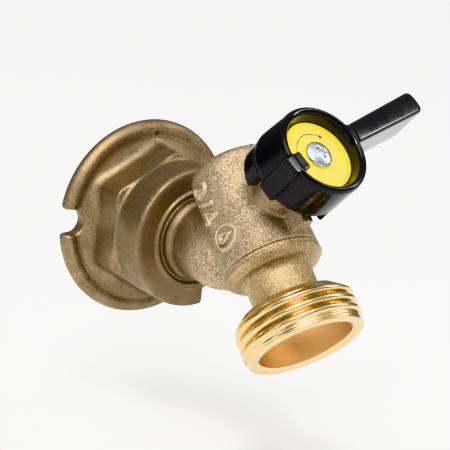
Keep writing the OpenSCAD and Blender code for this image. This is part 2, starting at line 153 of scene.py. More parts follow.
def outline(points, across, along):
    """A closed outline, as the signed distance in its own plane"""
    nearest = np.full(across.shape, 1e9)
    inside = np.zeros(across.shape, bool)
    for (ax, ay), (bx, by) in zip(points, points[1:] + points[:1]):
        ex, ey = bx - ax, by - ay
        wx, wy = across - ax, along - ay
        share = np.clip((wx * ex + wy * ey) / (ex * ex + ey * ey), 0, 1)
        nearest = np.minimum(nearest, (wx - ex * share) ** 2 + (wy - ey * share) ** 2)
        if ey:
            spans = (ay > along) != (by > along)
            inside ^= spans & (wx < ex * wy / ey)
    distance = np.sqrt(nearest)
    return np.where(inside, -distance, distance)


def segment(points, start, end):
    """Distance to a straight line between two points"""
    line = end - start
    share = np.clip((points - start) @ line / (line @ line), 0, 1)
    return np.linalg.norm(points - start - share[:, None] * line, axis=1)


def helix_phase(turn, height, pitch):
    """0 in the middle of a thread's groove, 0.5 on its crest"""
    phase = (height / pitch - turn / (2 * math.pi)) % 1.0
    return np.minimum(phase, 1 - phase)


def window(value, low, high, soft):
    """1 between low and high, fading to 0 over soft"""
    return np.clip((value - low) / soft, 0, 1) * np.clip((high - value) / soft, 0, 1)


# ---------------------------------------------------------------- surface nets
def sample(field, low, high, step):
    """The field on a grid, worked out only in blocks that the surface may cross"""
    block = 8
    count = [int(math.ceil((h - l) / step / block)) for l, h in zip(low, high)]
    middles = np.stack(np.meshgrid(*[l + step * (block * (np.arange(n) + 0.5) - 0.5)
                                     for l, n in zip(low, count)], indexing="ij"), -1)
    rough = field(middles.reshape(-1, 3)).reshape(count)
    values = rough.repeat(block, 0).repeat(block, 1).repeat(block, 2)
    reach = step * (block + 1) * 0.87 + 0.6
    near = np.argwhere(np.abs(rough) < reach) * block
    inner = np.stack(np.meshgrid(*[np.arange(block)] * 3, indexing="ij"), -1).reshape(-1, 3)
    for first in range(0, len(near), 256):
        index = (near[first:first + 256, None, :] + inner).reshape(-1, 3)
        values[tuple(index.T)] = field(np.array(low) + step * index)
    return values


def surface_net(field, low, high, step, rounds=3):
    """Vertices and quads on the zero surface of a field"""
    values = sample(field, low, high, step)
    inside = values < 0
    size = np.array(values.shape) - 1
    corners = [np.array(c) for c in np.ndindex(2, 2, 2)]
    count = sum(inside[tuple(slice(c, n + c) for c, n in zip(corner, size))].astype(np.int8)
                for corner in corners)
    cells = np.argwhere((count > 0) & (count < 8))
    ids = np.full(tuple(size), -1)
    ids[tuple(cells.T)] = np.arange(len(cells))
    total = np.zeros((len(cells), 3))
    hits = np.zeros(len(cells))
    for a in corners:
        for axis in range(3):
            if a[axis]:
                continue
            b = a.copy()
            b[axis] = 1
            va, vb = values[tuple((cells + a).T)], values[tuple((cells + b).T)]
            crosses = (va < 0) != (vb < 0)
            share = np.where(crosses, va / np.where(crosses, va - vb, 1), 0)
            point = a + share[:, None] * (b - a)
            total += point * crosses[:, None]
            hits += crosses
    verts = np.array(low) + step * (cells + total / hits[:, None])
    quads = []
    for axis in range(3):
        u, v = (axis + 1) % 3, (axis + 2) % 3
        here = inside.take(range(size[axis]), axis)
        there = inside.take(range(1, size[axis] + 1), axis)
        for rising in (True, False):
            edges = np.argwhere(here & ~there if rising else there & ~here)
            eu, ev = edges[:, u], edges[:, v]
            edges = edges[(eu > 0) & (ev > 0) & (eu < size[u]) & (ev < size[v])]
            ring = []
            for du, dv in ((0, 0), (1, 0), (1, 1), (0, 1)):
                cell = edges.copy()
                cell[:, u] -= du
                cell[:, v] -= dv
                ring.append(ids[tuple(cell.T)])
            quads.append(np.stack(ring if not rising else ring[::-1], 1)[:, ::-1])
    quads = np.concatenate(quads)
    for _ in range(rounds):
        verts = settle(field, verts, step)
    return verts, quads


def settle(field, verts, step):
    """Moves vertices onto the zero surface along the field's slope"""
    here, slope = slope_of(field, verts)
    strength = np.maximum((slope ** 2).sum(1), 0.25)
    move = -slope * (here / strength)[:, None]
    length = np.linalg.norm(move, axis=1)
    return verts + move * np.minimum(1, 0.5 * step / np.maximum(length, 1e-9))[:, None]


def slope_of(field, verts, tiny=0.02):
    """The field's value and its slope at some points"""
    here = field(verts)
    return here, np.stack([field(verts + tiny * np.eye(3)[i]) - here for i in range(3)], 1) / tiny


def edge_amount(field, verts, normal, steep, depth):
    """About 1 on sharp convex edges, 0 on flat ground, -1 in sharp creases, at a depth in mm"""
    convex = field(verts - depth * normal) / steep + depth
    hollow = depth - field(verts + depth * normal) / steep
    return np.clip((convex - hollow) / depth, -1, 1)


def add_field_piece(name, field, low, high, step, depth, place=None, keep=1.0):
    """A piece on a field's zero surface, with the field's normals and its edge amounts stored"""
    verts, quads = surface_net(field, low, high, step)
    _, slope = slope_of(field, verts)
    steep = np.maximum(np.linalg.norm(slope, axis=1), 0.3)
    normal = slope / steep[:, None]
    edge = edge_amount(field, verts, normal, steep, depth)
    place = place or np.asarray
    obj = add_mesh(name, place(verts), quads)
    obj.data.attributes.new("edge", "FLOAT", "POINT").data.foreach_set("value", edge)
    if keep < 1.0:
        thin = obj.modifiers.new("thin", "DECIMATE")
        thin.ratio = keep
        shaped = bpy.data.meshes.new_from_object(obj.evaluated_get(bpy.context.evaluated_depsgraph_get()))
        obj.modifiers.clear()
        obj.data = shaped
        shaped.polygons.foreach_set("use_smooth", [True] * len(shaped.polygons))
    else:
        turned = place(verts + normal) - place(verts)
        turned /= np.maximum(np.linalg.norm(turned, axis=1), 1e-9)[:, None]
        obj.data.normals_split_custom_set_from_vertices(turned.tolist())
    return obj


def add_mesh(name, verts_mm, faces, smooth=True):
    """A mesh object in the frame's axes, from points in mm"""
    mesh = bpy.data.meshes.new(name)
    mesh.from_pydata((np.asarray(verts_mm) * MM).tolist(), [], np.asarray(faces).tolist()
                     if not isinstance(faces, list) else faces)
    mesh.update()
    mesh.polygons.foreach_set("use_smooth", [smooth] * len(mesh.polygons))
    obj = bpy.data.objects.new(name, mesh)
    bpy.context.scene.collection.objects.link(obj)
    return obj


def slanted(points, axis):
    """Points given as (x, across, along an axis) in mm, put in the frame's axes"""
    across = np.cross(axis, (1.0, 0.0, 0.0))
    points = np.asarray(points, float)
    return BALL + points[:, :1] * (1.0, 0, 0) + points[:, 1:2] * across + points[:, 2:] * axis


# ---------------------------------------------------------------- cast figures on the body
def arc(centre, radius, start, end, count=8):
    """Points of a round stroke, as (along the body, up the body)"""
    turns = np.radians(np.linspace(start, end, count))
    return [(centre[0] + radius[0] * math.cos(a), centre[1] + radius[1] * math.sin(a)) for a in turns]


def cast_strokes():
    """The raised size mark 3/4, and a plain drop in a ring as a generic foundry mark"""
    three = arc((-8.7, -0.3), (1.05, 1.1), 150, -80) + arc((-8.7, -2.5), (1.15, 1.2), 80, -150)
    slash = [(-6.3, -3.5), (-4.6, 0.9)]
    four = [(-1.8, -3.5), (-1.8, 0.9), (-3.6, -2.1), (-1.1, -2.1)]
    oval = arc((4.1, 1.3), (2.45, 3.0), 0, 360, 24)
    drop = arc((4.1, 0.6), (0.95, 0.95), 145, 395, 9) + [(4.1, 2.9)]
    return [three, slash, four, oval, drop + drop[:1]]


def stroke_lines():
    """Each stroke as pairs of points on the chamber's surface"""
    lines = []
    for stroke in cast_strokes():
        points = []
        for s, t in stroke:
            radius = CHAMBER_R + CHAMBER_TAPER * s + 0.1
            points.append((-math.sqrt(radius ** 2 - t ** 2), t, s))
        spots = np.array([BALL + x * np.array((1.0, 0, 0)) + t * STEM + s * OUTLET for x, t, s in points])
        lines += list(zip(spots[:-1], spots[1:]))
    return lines


STROKES = stroke_lines()
STROKE_R = 0.46


# ---------------------------------------------------------------- valve body
def flange_field(x, z, u, wall_r):
    """The wall flange: a web inside a round rim, two open screw slots and a parting seam"""
    middle = FLANGE_R - RIM_R
    disc = outline([(0, 0), (middle, 0), (middle, WEB_U), (middle - 1.3, 3.15), (WEB_R, FLANGE_HUB_U),
                    (14.0, FLANGE_HUB_U + 0.9), (0, FLANGE_HUB_U + 0.9)], wall_r, u)
    rim = np.hypot(wall_r - middle, u - RIM_R) - RIM_R
    flange = smooth_min(disc, rim, 1.3)
    reach = np.abs(x)
    slot = np.where(reach > SLOT_X, np.abs(z), np.hypot(reach - SLOT_X, z)) - SLOT_R
    flange = cut(flange, slot, 1.0)
    seam = np.maximum(np.abs(x) - 0.25, np.abs(z - 18.4) - 2.1)
    return cut(flange, np.maximum(seam, -0.35 - disc), 0.3)


def wrench_hex(x, z, u, wall_r):
    """The wrench hexagon, its corners and front face rounded"""
    slanted_flat = np.abs(x) * 0.5 + np.abs(z) * math.sqrt(0.75)
    hexagon = smooth_max(np.abs(x), slanted_flat, 0.35) - HEX_FLAT
    hexagon = smooth_max(hexagon, wall_r - HEX_CORNER_R, 0.8)
    front = u - HEX_FRONT_U + 0.15 * (wall_r - HEX_FLAT)
    return smooth_max(hexagon, front, 0.6)


def body_outside(points):
    """The casting without its holes: flange, hexagon, barrel, neck, chamber, boss and lug"""
    x, y, z = points.T
    u, wall_r = -y, np.hypot(x, z)
    apart = points - BALL
    t, s = apart @ STEM, apart @ OUTLET
    out_r, stem_r = np.hypot(x, t), np.hypot(x, s)

    hub = smooth_max(wrench_hex(x, z, u, wall_r), 0.4 - u, 0.1)
    barrel = outline([(0, 3), (15.0, 3), (15.0, HEX_FRONT_U - 0.3), (BARREL_BACK_R, HEX_FRONT_U),
                      (BARREL_FRONT_R, 21.2), (BARREL_FRONT_R, BARREL_FRONT_U), (0, BARREL_FRONT_U)],
                     wall_r, u)
    barrel = smooth_max(barrel, (wall_r - BARREL_FRONT_R + u - BARREL_FRONT_U) * 0.707 + 0.42, 0.7)
    relief = np.maximum(np.maximum(RELIEF_X - x, z - RELIEF_Z), RELIEF_U - u)
    barrel = cut(barrel, relief, 0.35)
    metal = smooth_min(flange_field(x, z, u, wall_r), hub, 1.8)
    metal = smooth_min(metal, barrel, 1.1)

    ring = np.hypot(wall_r - RING_R, u - BARREL_FRONT_U - 0.15) - RING_TUBE
    metal = smooth_min(metal, ring, 0.6)
    hollow = np.hypot(wall_r - HOLLOW_R, u - BARREL_FRONT_U - 0.6) - HOLLOW_TUBE
    metal = cut(metal, hollow, 0.45)

    elbow = np.array((0.0, -ELBOW_U, 0.0))
    neck = segment(points, np.array((0.0, -18.0, 0.0)), elbow) - NECK_R
    foot = np.hypot(wall_r - NECK_FOOT_R, u - BARREL_FRONT_U - 0.9) - NECK_FOOT_TUBE
    neck = smooth_min(neck, foot, 1.4)
    branch = segment(points, elbow, BALL) - BRANCH_R
    neck = smooth_min(neck, branch, 1.5)
    metal = smooth_min(metal, neck, 1.1)

    chamber = smooth_max(out_r - CHAMBER_R - CHAMBER_TAPER * s, CHAMBER_TOP_S - s, 1.17 * CHAMBER_ROUND)
    chamber = smooth_max(chamber, s - JOINT_S, 0.25)
    boss = smooth_max(stem_r - BOSS_R - 0.02 * (BOSS_TOP - t), np.maximum(t - BOSS_TOP, -t), 0.3)
    chamber = smooth_min(chamber, boss, 0.8)
    lug = smooth_max(np.abs(x) - LUG_HALF - 0.03 * (LUG_TOP - t), s - LUG_REACH, 0.2)
    lug = smooth_max(np.maximum(lug, np.maximum(2.0 - s, 6.0 - t)), t - LUG_TOP, 0.2)
    chamber = smooth_min(chamber, lug, 0.45)
    metal = smooth_min(metal, chamber, 0.7)

    seam = np.maximum(np.abs(x) - 0.22, metal - 0.14)
    seam = np.maximum(seam, np.maximum(HEX_FRONT_U - u, s - JOINT_S + 1.5))
    seam = np.where(stem_r < BOSS_R + 1.5, 9.0, seam)
    metal = smooth_min(metal, seam, 0.2)

    return metal


def figures_field(points):
    """The cast size mark and foundry mark, with a fillet that runs out on the body's skin"""
    skin = body_outside(points)
    nearest = np.min([segment(points, a, b) for a, b in STROKES], axis=0)
    metal = smooth_min(skin + 0.03, nearest - STROKE_R, 0.3)
    metal = smooth_max(metal, nearest - 1.0, 0.1)
    return np.maximum(metal, -skin - 0.7)


def body_holes(points):
    """Everything cut from the casting, sized as in the CAD"""
    x, y, z = points.T
    u, wall_r = -y, np.hypot(x, z)
    apart = points - BALL
    t, s = apart @ STEM, apart @ OUTLET
    out_r, stem_r = np.hypot(x, t), np.hypot(x, s)
    turn = np.arctan2(z, x)
    phase = helix_phase(turn, u, INLET_PITCH)
    thread = INLET_R + 0.05 + INLET_THREAD * (1 - 2 * phase) * window(u, -1, INLET_DEPTH - 0.3, 1.2)
    inlet = np.maximum(wall_r - thread - np.maximum(0, 1.1 - u) * 0.8, u - INLET_DEPTH) * 0.8
    step_down = rod(wall_r, u, INLET_RELIEF_R, 0, INLET_DEPTH + INLET_RELIEF_LENGTH)
    waterway = rod(wall_r, u, WATER_R, 0, ELBOW_U)
    elbow = np.array((0.0, -ELBOW_U, 0.0))
    bend = segment(points, elbow, BALL) - WATER_R + 0.4
    chamber = rod(out_r, s, CHAMBER_BORE_R, CHAMBER_BORE_BOTTOM, JOINT_S + 1)
    socket = rod(out_r, s, SOCKET_R, SOCKET_BOTTOM, JOINT_S + 1)
    pocket = rod(stem_r, t, COLLAR_POCKET_R, 0, COLLAR_POCKET_TOP)
    stem_bore = np.minimum(rod(stem_r, t, STEM_BORE_R, 0, BOSS_TOP + 1), pocket)
    packing = rod(stem_r, t, PACKING_R, PACKING_FLOOR, BOSS_TOP + 1)
    bend = smooth_min(bend, waterway, 0.5)
    holes = [inlet, step_down, waterway, bend, chamber, socket, stem_bore, packing]
    return np.min(holes, axis=0)


def body_field(points):
    return cut(body_outside(points), body_holes(points), 0.3)


def make_body():
    return add_field_piece("cast_body", body_field, (-24, -61, -24), (24, 1.5, 29), 0.33, 0.5, keep=0.62)


def make_figures():
    ends = np.array(STROKES).reshape(-1, 3)
    low, high = tuple(ends.min(0) - 1.6), tuple(ends.max(0) + 1.6)
    return add_field_piece("cast_figures", figures_field, low, high, 0.15, 0.85)


# ---------------------------------------------------------------- spout
def spout_field(points):
    """The brass end: spigot, bead, neck, threaded collar, lip and mouth"""
    apart = points - BALL
    x, t, s = points[:, 0], apart @ STEM, apart @ OUTLET
    radius, turn = np.hypot(x, t), np.arctan2(t, x)
    bead = outline([(0, JOINT_S), (BEAD_R - 0.35, JOINT_S), (BEAD_R - 0.1, JOINT_S + 0.35),
                    (BEAD_R - 0.15, JOINT_S + 0.9), (BEAD_R, BEAD_S - 0.35), (BEAD_R - 0.35, BEAD_S + 0.1),
                    (BEAD_R - 1.5, BEAD_S + 1.1), (SPOUT_NECK_R, BEAD_S + 1.9), (0, BEAD_S + 1.9)], radius, s)
    neck = rod(radius, s, SPOUT_NECK_R, JOINT_S, COLLAR_S + 2)
    metal = smooth_min(bead, neck + 0.012 * (s - 14), 1.3)
    depth = HOSE_DEPTH * window(s, COLLAR_S + 1.3, LIP_S + 0.9, 0.7)
    phase = helix_phase(turn, s - LIP_S + 0.2, HOSE_PITCH)
    wave = 0.5 + 0.5 * np.cos(2 * math.pi * phase)
    groove = 0.7 * wave ** 3.5 + 0.3 * wave
    crest = HOSE_R + 0.05 - depth * groove
    shoulder = (radius - 11.0) - 1.05 * (s - COLLAR_S)
    collar = smooth_max(radius - crest, shoulder * 0.69, 0.35)
    collar = smooth_max(collar, np.maximum(COLLAR_S - s, s - LIP_S - 0.25), 0.3) * 0.9
    scored = 0.035 * np.cos(2 * math.pi * (s - LIP_S) / 0.7)
    lip_ends = np.maximum(s - SPOUT_END_S, LIP_S - 0.6 - s)
    lip = smooth_max(radius - LIP_R + scored - 0.05 * (SPOUT_END_S - s), lip_ends, 0.5)
    metal = smooth_min(metal, smooth_min(collar, lip, 0.15), 0.3)
    spigot = rod(radius, s, SPIGOT_R, SPIGOT_START, JOINT_S + 0.5, 0.2)
    ring_groove = np.maximum(RING_GROOVE_R - radius, np.abs(s - RING_GROOVE_S) - RING_GROOVE_HALF)
    spigot = cut(spigot, ring_groove, 0.05)
    metal = np.minimum(metal, spigot)
    mouth = rod(radius, s, MOUTH_R, MOUTH_S, SPOUT_END_S + 3)
    mouth = smooth_min(mouth, (radius - MOUTH_R - (s - SPOUT_END_S + 0.55)) * 0.707, 0.15)
    seat_pocket = rod(radius, s, SEAT_POCKET_R, 0, SEAT_POCKET_END)
    bore = np.minimum(rod(radius, s, WATER_R, 0, SPOUT_END_S), seat_pocket)
    return cut(metal, np.minimum(mouth, bore), 0.25)


def make_spout():
    def local(points):
        return spout_field(slanted(points, OUTLET))

    return add_field_piece("spout", local, (-14, -14, 4.4), (14, 14, 31.4), 0.24, 0.35,
                           lambda verts: slanted(verts, OUTLET))


# ---------------------------------------------------------------- handle
def handle_field(points):
    """In the stem's own axes: x, y away from the spout, t up the stem"""
    x, y, t = points.T
    radius = np.hypot(x, y)
    lean = 0.55 * np.clip((27 - t) / 7, 0, 1)
    leaned_r = np.hypot(x + lean * 0.82, y - lean * 0.57)
    outer_r = CUP_FRONT_R + (CUP_BACK_R - CUP_FRONT_R) * np.clip((27.6 - t) / 9, 0, 1)

    cup = smooth_max(leaned_r - outer_r, t - RIM_TOP, 1.3)
    cup = smooth_max(cup, CUP_BOTTOM - t, 0.5)
    recess = np.maximum(radius - RECESS_R - 0.25 * (t - LABEL_BOTTOM), LABEL_BOTTOM - t)
    cup = cut(cup, recess, 1.0)
    cup = cut(cup, np.maximum(radius - INNER_R, t - INNER_TOP), 0.3)
    groove = np.hypot(leaned_r - outer_r - 0.1, t - 19.0) - 0.4
    cup = cut(cup, groove, 0.25)

    drop = 0.65 * np.clip((np.arctan2(y, x) + 1.24) / -0.9 + 1, 0, 1)
    skirt = np.maximum(leaned_r - outer_r + 0.3, 8.35 - radius)
    skirt = smooth_max(skirt, np.maximum(SKIRT_BOTTOM + drop - t, t - 19.1), 0.5)
    edge_a = -(math.cos(SKIRT_END) * y - math.sin(SKIRT_END) * x)
    edge_b = math.cos(SKIRT_START) * y - math.sin(SKIRT_START) * x
    skirt = cut(skirt, np.maximum(edge_a, edge_b), 0.5)
    handle = smooth_min(cup, skirt, 0.15)

    along = math.cos(LEVER_TURN) * x + math.sin(LEVER_TURN) * y
    across = np.abs(math.cos(LEVER_TURN) * y - math.sin(LEVER_TURN) * x)
    half = LEVER_ROOT / 2 + (LEVER_TIP - LEVER_ROOT) / 2 * (along - 9) / (LEVER_REACH - 9)
    crown = 0.25 * (across / 2.5) ** 2
    blade = smooth_max(across - half, along - LEVER_REACH, 1.3)
    blade = smooth_max(blade, t - RIM_TOP + 0.02 + crown, 0.8)
    blade = smooth_max(blade, np.maximum(BLADE_BOTTOM - t, 9.2 - along), 0.7)
    handle = smooth_min(handle, blade, 0.5)

    rib = smooth_max(across - RIB_HALF, np.abs(along + RIB_PLACE) - 1.15, 0.45)
    rib = smooth_max(rib, np.maximum(t - RIM_TOP + 0.02, BLADE_BOTTOM - 0.1 - t), 0.5)
    tongue = smooth_max(across - RIB_HALF, np.maximum(along + 6.7, -along - 11.0), 0.5)
    tongue = smooth_max(tongue, np.maximum(t - RIM_TOP + 0.02, LABEL_TOP + 0.05 - t), 0.45)
    handle = smooth_min(handle, smooth_min(rib, tongue, 0.05), 0.3)

    hub = rod(radius, t, HUB_R, HUB_BOTTOM, HUB_TOP, 0.2)
    handle = np.minimum(handle, hub)
    turned = math.radians(-81)
    flat = np.abs(math.cos(turned) * y - math.sin(turned) * x)
    socket = np.maximum(np.maximum(radius - 3.05, flat - 2.25), t - 24.9)
    return cut(handle, np.minimum(socket, rod(radius, t, 2.02, 20, 30)), 0.1)


def stem_axes(points):
    """From the stem's own axes to the frame's: its y points away from the spout"""
    return slanted(points, STEM)


def make_handle():
    return add_field_piece("lever_handle", handle_field, (-13, -13, 13.6), (33.5, 15.5, 29.2),
                           0.2, 0.3, stem_axes)


# ---------------------------------------------------------------- label and screw
def lathe(name, section, segments=96):
    """Turns a closed section of (radius, height) round the stem"""
    turns = np.linspace(0, 2 * math.pi, segments, endpoint=False)
    verts = [(r * math.cos(a), r * math.sin(a), h) for a in turns for r, h in section]
    count = len(section)
    faces = []
    for i in range(segments):
        for j in range(count):
            a, b = i * count + j, i * count + (j + 1) % count
            c, d = ((i + 1) % segments) * count + (j + 1) % count, ((i + 1) % segments) * count + j
            faces.append((a, d, c, b))
    return add_mesh(name, stem_axes(verts), faces)


def make_label():
    inner, outer, edge = 2.02, 7.95, 0.08
    section = [(inner, LABEL_BOTTOM), (outer, LABEL_BOTTOM), (outer, LABEL_TOP - edge),
               (outer - edge * 0.3, LABEL_TOP - edge * 0.3), (outer - edge, LABEL_TOP),
               (6.0, LABEL_TOP), (4.0, LABEL_TOP), (inner + edge, LABEL_TOP), (inner, LABEL_TOP - edge)]
    return lathe("label", section)


def make_label_arrow():
    """A thin printed arc with an arrowhead, the way the valve closes"""
    low, high = LABEL_TOP - 0.01, LABEL_TOP + 0.02
    start, end, radius, half = math.radians(205), math.radians(62), 5.1, 0.13
    steps = 48
    outer_line, inner_line = [], []
    for i in range(steps + 1):
        a = start + (end - start) * i / steps
        outer_line.append(((radius + half) * math.cos(a), (radius + half) * math.sin(a)))
        inner_line.append(((radius - half) * math.cos(a), (radius - half) * math.sin(a)))
    tip = end - 0.2
    head = [((radius + 0.55) * math.cos(end), (radius + 0.55) * math.sin(end)),
            (radius * math.cos(tip), radius * math.sin(tip)),
            ((radius - 0.55) * math.cos(end), (radius - 0.55) * math.sin(end))]
    ring = outer_line + head + inner_line[::-1]
    count = len(ring)
    verts = [(x, y, low) for x, y in ring] + [(x, y, high) for x, y in ring]
    faces = [(i, (i + 1) % count, (i + 1) % count + count, i + count) for i in range(count)]
    for base in (0, count):
        for i in range(steps):
            quad = [base + i, base + i + 1, base + count - 2 - i, base + count - 1 - i]
            faces.append(tuple(quad if base == 0 else quad[::-1]))
        points = [base + steps, base + steps + 1, base + steps + 2, base + steps + 3, base + steps + 4]
        faces.append(tuple(points if base == 0 else points[::-1]))
    return add_mesh("label_arrow", stem_axes(verts), [f[::-1] for f in faces], smooth=False)


def screw_field(points):
    """Pan head with a cross recess, and a threaded shank"""
    x, y, t = points.T
    radius, turn = np.hypot(x, y), np.arctan2(y, x)
    dome = np.sqrt(radius ** 2 + (t - LABEL_TOP + 4.5) ** 2) - 6.0
    head = smooth_max(smooth_max(radius - HEAD_R, dome, 0.5), LABEL_TOP - t, 0.15)
    a = math.cos(RECESS_TURN) * x + math.sin(RECESS_TURN) * y
    b = math.cos(RECESS_TURN) * y - math.sin(RECESS_TURN) * x
    top = LABEL_TOP + 1.5
    depth = top - t
    arm = RECESS_ARM - 0.35 * depth
    slot_a = np.maximum(np.abs(a) - arm, np.abs(b) - RECESS_HALF + 0.08 * depth)
    slot_b = np.maximum(np.abs(b) - arm, np.abs(a) - RECESS_HALF + 0.08 * depth)
    recess = smooth_min(np.minimum(slot_a, slot_b), radius - 0.95 + 0.45 * depth, 0.25)
    recess = np.maximum(recess, top - RECESS_DEPTH - t)
    head = cut(head, recess, 0.2)
    phase = helix_phase(turn, t, SCREW_PITCH)
    ends = np.maximum(LABEL_TOP - SHANK_LENGTH - t, t - LABEL_TOP - 0.3)
    shank = smooth_max(radius - SHANK_R + 0.3 * (1 - 2 * phase), ends, 0.2)
    return np.minimum(head, shank * 0.85)


def make_screw():
    low, high = (-3.6, -3.6, LABEL_TOP - 9), (3.6, 3.6, LABEL_TOP + 2)
    return add_field_piece("cross_screw", screw_field, low, high, 0.1, 0.2, stem_axes)


def nut_field(points):
    """The packing nut, chamfered at both ends"""
    x, y, t = points.T
    radius = np.hypot(x, y)
    slant = np.abs(x) * 0.5 + np.abs(y) * math.sqrt(0.75)
    sides = smooth_max(np.abs(x), slant, 0.25) - NUT_FLAT
    nut = smooth_max(sides, np.maximum(NUT_BOTTOM - t, t - NUT_TOP), 0.25)
    nut = smooth_max(nut, (radius - NUT_CORNER_R) * 0.55 + (t - NUT_TOP) * 0.83, 0.15)
    nut = smooth_max(nut, (radius - NUT_CORNER_R) * 0.55 + (NUT_BOTTOM - t) * 0.83, 0.15)
    hole = np.minimum(rod(radius, t, NUT_BORE_R, 15, NUT_BORE_TOP), rod(radius, t, NUT_STEM_R, 15, 23))
    return cut(nut, hole, 0.2)


def make_nut():
    return add_field_piece("packing_gland_nut", nut_field, (-8, -8, 16), (8, 8, 21.8), 0.18, 0.3, stem_axes)


# ---------------------------------------------------------------- materials
class Shader:
    """A material under construction: short calls that add and join nodes"""

    def __init__(self, name, roughness, metallic=0.0, **sockets):
        self.material = bpy.data.materials.new(name)
        self.material.use_nodes = True
        self.tree = self.material.node_tree
        self.bsdf = self.tree.nodes["Principled BSDF"]
        self.bsdf.inputs["Metallic"].default_value = metallic
        self.bsdf.inputs["Roughness"].default_value = roughness
        for socket, value in sockets.items():
            self.bsdf.inputs[socket.replace("_", " ")].default_value = value
        self.place = self.node("ShaderNodeTexCoord").outputs["Object"]

    def node(self, kind, **settings):
        made = self.tree.nodes.new(kind)
        for name, value in settings.items():
            setattr(made, name, value)
        return made

    def feed(self, socket, value):
        if isinstance(value, bpy.types.NodeSocket):
            self.tree.links.new(value, socket)
        else:
            socket.default_value = value

    def noise(self, feature_mm, detail=2.0, rough=0.5, stretch=None):
        """Noise with features of a given size; stretch scales the three axes"""
        made = self.node("ShaderNodeTexNoise")
        made.inputs["Scale"].default_value = 1 / (feature_mm * MM)
        made.inputs["Detail"].default_value = detail
        made.inputs["Roughness"].default_value = rough
        place = self.place
        if stretch:
            mapping = self.node("ShaderNodeMapping")
            mapping.inputs["Scale"].default_value = stretch
            self.feed(mapping.inputs["Vector"], place)
            place = mapping.outputs["Vector"]
        self.feed(made.inputs["Vector"], place)
        return made.outputs["Fac"]

    def cells(self, feature_mm):
        made = self.node("ShaderNodeTexVoronoi")
        made.inputs["Scale"].default_value = 1 / (feature_mm * MM)
        self.feed(made.inputs["Vector"], self.place)
        return made

    def math(self, operation, a, b=0.5, clamp=False):
        made = self.node("ShaderNodeMath", operation=operation, use_clamp=clamp)
        self.feed(made.inputs[0], a)
        self.feed(made.inputs[1], b)
        return made.outputs[0]

    def spread(self, value, low, high, to_low=0.0, to_high=1.0):
        """Maps a range of a value onto another, clamped"""
        made = self.node("ShaderNodeMapRange")
        ends = {"From Min": low, "From Max": high, "To Min": to_low, "To Max": to_high}
        for socket, number in ends.items():
            made.inputs[socket].default_value = number
        self.feed(made.inputs["Value"], value)
        return made.outputs["Result"]

    def mix(self, share, a, b, blend="MIX"):
        made = self.node("ShaderNodeMix", data_type="RGBA", blend_type=blend)
        self.feed(made.inputs["Factor"], share)
        self.feed(made.inputs["A"], a)
        self.feed(made.inputs["B"], b)
        return made.outputs["Result"]

    def along(self, axis, origin_mm):
        """Height along an axis, in mm"""
        shift = self.node("ShaderNodeVectorMath", operation="SUBTRACT")
        self.feed(shift.inputs[0], self.place)
        shift.inputs[1].default_value = tuple(np.asarray(origin_mm, float) * MM)
        dot = self.node("ShaderNodeVectorMath", operation="DOT_PRODUCT")
        self.feed(dot.inputs[0], shift.outputs["Vector"])
        dot.inputs[1].default_value = tuple(np.asarray(axis, float) / MM)
        return dot.outputs["Value"]

    def radius(self, axis, origin_mm):
        """Distance from an axis, in mm"""
        shift = self.node("ShaderNodeVectorMath", operation="SUBTRACT")
        self.feed(shift.inputs[0], self.place)
        shift.inputs[1].default_value = tuple(np.asarray(origin_mm, float) * MM)
        cross = self.node("ShaderNodeVectorMath", operation="CROSS_PRODUCT")
        self.feed(cross.inputs[0], shift.outputs["Vector"])
        cross.inputs[1].default_value = tuple(np.asarray(axis, float) / MM)
        length = self.node("ShaderNodeVectorMath", operation="LENGTH")
        self.feed(length.inputs[0], cross.outputs["Vector"])
        return length.outputs["Value"]

    def edges(self):
        """The stored edge amount: 0 on flat ground, more on convex edges, less in creases"""
        return self.node("ShaderNodeAttribute", attribute_name="edge").outputs["Fac"]

    def bump(self, height, depth_mm, strength=1.0, under=None):
        made = self.node("ShaderNodeBump")
        made.inputs["Distance"].default_value = depth_mm * MM
        self.feed(made.inputs["Strength"], strength)
        self.feed(made.inputs["Height"], height)
        if under is not None:
            self.feed(made.inputs["Normal"], under)
        return made.outputs["Normal"]

    def finish(self, color=None, roughness=None, normal=None):
        for socket, value in (("Base Color", color), ("Roughness", roughness), ("Normal", normal)):
            if value is not None:
                self.feed(self.bsdf.inputs[socket], value)
        return self.material


CAST_DARK, CAST_MIDDLE = (0.17, 0.122, 0.065, 1), (0.32, 0.240, 0.135, 1)
CAST_BRIGHT = (0.86, 0.70, 0.50, 1)


